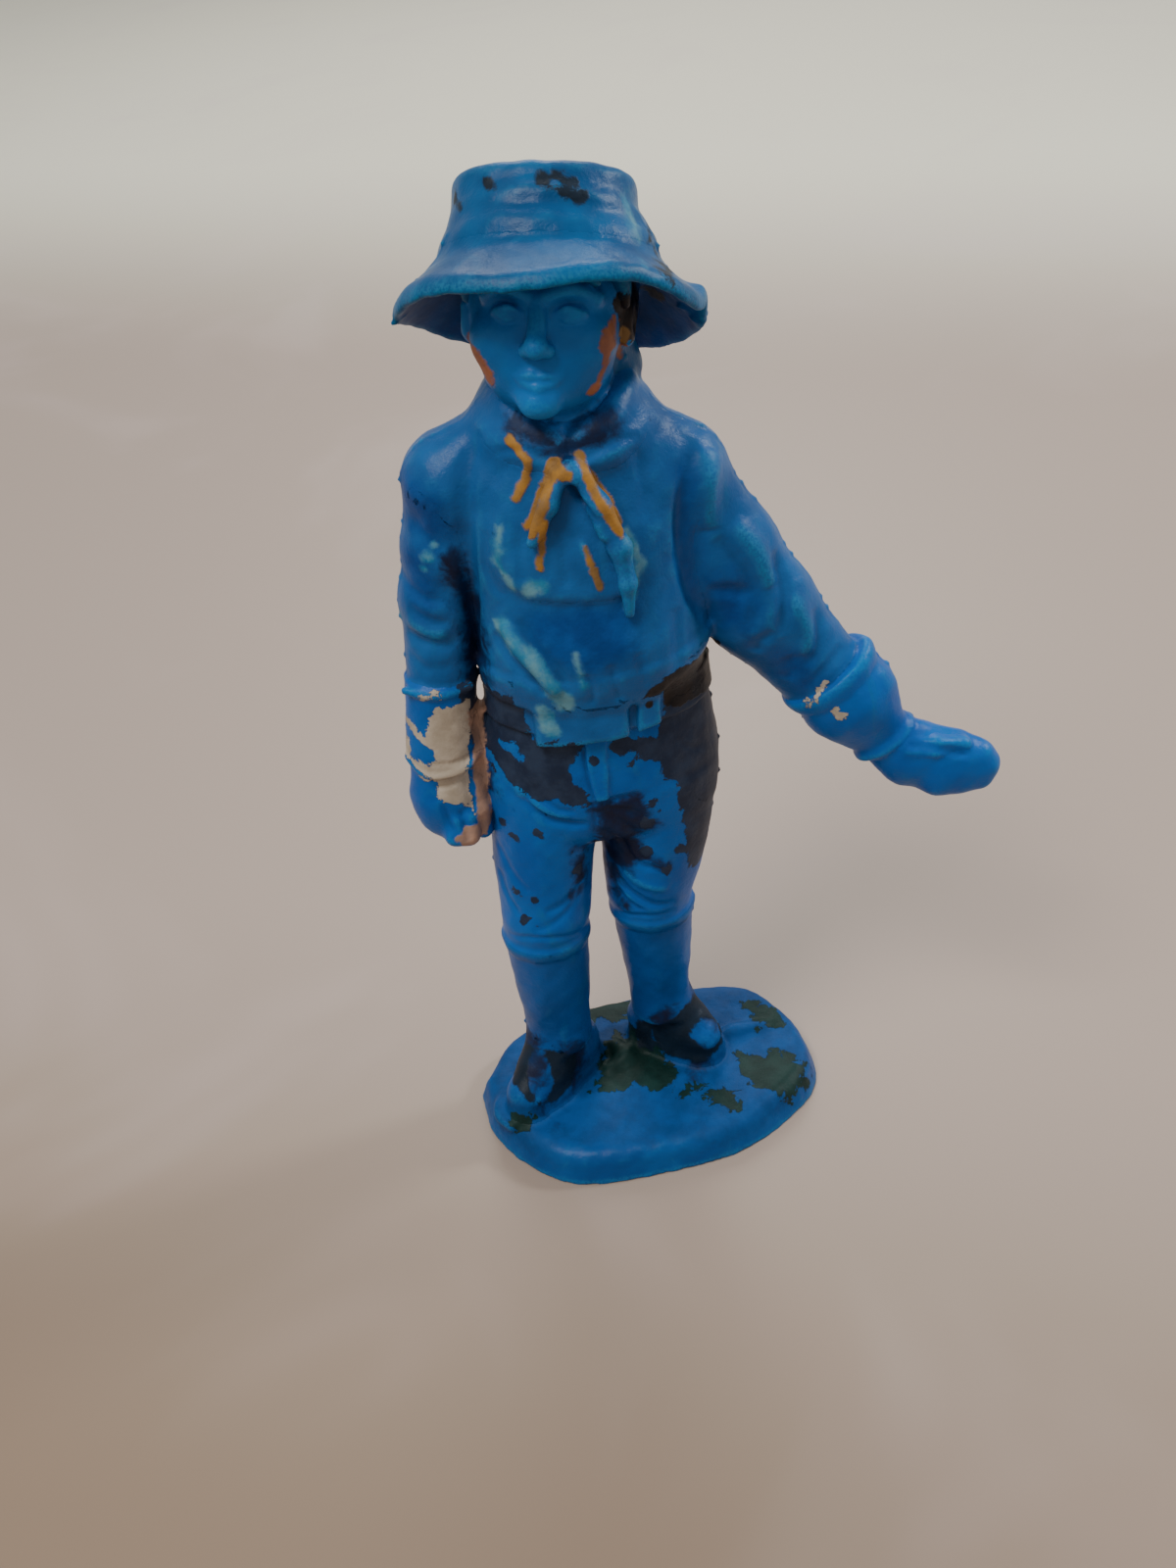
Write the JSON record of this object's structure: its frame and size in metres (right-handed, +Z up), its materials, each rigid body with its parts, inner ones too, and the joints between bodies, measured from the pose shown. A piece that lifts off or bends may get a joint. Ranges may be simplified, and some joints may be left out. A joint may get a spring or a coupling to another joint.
{
  "type": "toy figure",
  "caption": "Standing moulded toy figure of a young cavalry trooper in a brimmed hat, neckerchief, gauntlets and boots, on its own oval ground plate.",
  "frame": {"origin": "on the flat underside of the ground plate, below the middle of the body", "axes": "the figure faces -Y; +X is its own left, the side of the stretched arm; +Z is up"},
  "size_m": [0.034, 0.0162, 0.0606],
  "materials": {
    "blue_plastic": "satin moulded plastic, scuffed paler on its edges",
    "cream_paint": "cream hand paint, chipped through to blue plastic",
    "navy_paint": "charcoal navy hand paint, worn through to blue plastic on the raised areas",
    "ochre_paint": "ochre hand paint left in strokes along the folds, over blue plastic",
    "green_paint": "blue plastic with patches of dark green hand paint on the ground"
  },
  "bodies": {
    "root": {"base": "green_paint", "right_foot": "blue_plastic", "left_foot": "blue_plastic", "right_boot_shaft": "blue_plastic", "left_boot_shaft": "blue_plastic", "right_boot_rim": "blue_plastic", "left_boot_rim": "blue_plastic", "right_trouser_leg": "navy_paint", "left_trouser_leg": "navy_paint", "trouser_seat": "navy_paint", "trouser_fly": "blue_plastic", "belt": "navy_paint", "belt_buckle": "blue_plastic", "belt_keeper": "blue_plastic", "shirt_body": "blue_plastic", "shirt_hem": "blue_plastic", "right_sleeve": "blue_plastic", "left_sleeve": "blue_plastic", "right_gauntlet_cuff": "cream_paint", "left_gauntlet_cuff": "blue_plastic", "right_glove_hand": "cream_paint", "left_glove_hand": "blue_plastic", "right_glove_thumb": "cream_paint", "left_glove_thumb": "blue_plastic", "glove_thigh_web": "blue_plastic", "neck": "blue_plastic", "scarf_collar": "blue_plastic", "scarf_knot": "ochre_paint", "scarf_bib": "ochre_paint", "scarf_right_tail": "ochre_paint", "scarf_left_tail": "ochre_paint", "head": "blue_plastic", "nose": "blue_plastic", "right_ear": "blue_plastic", "left_ear": "blue_plastic", "hair": "blue_plastic", "hat_brim": "blue_plastic", "hat_band": "blue_plastic", "hat_crown": "blue_plastic"}
  },
  "joints": []
}
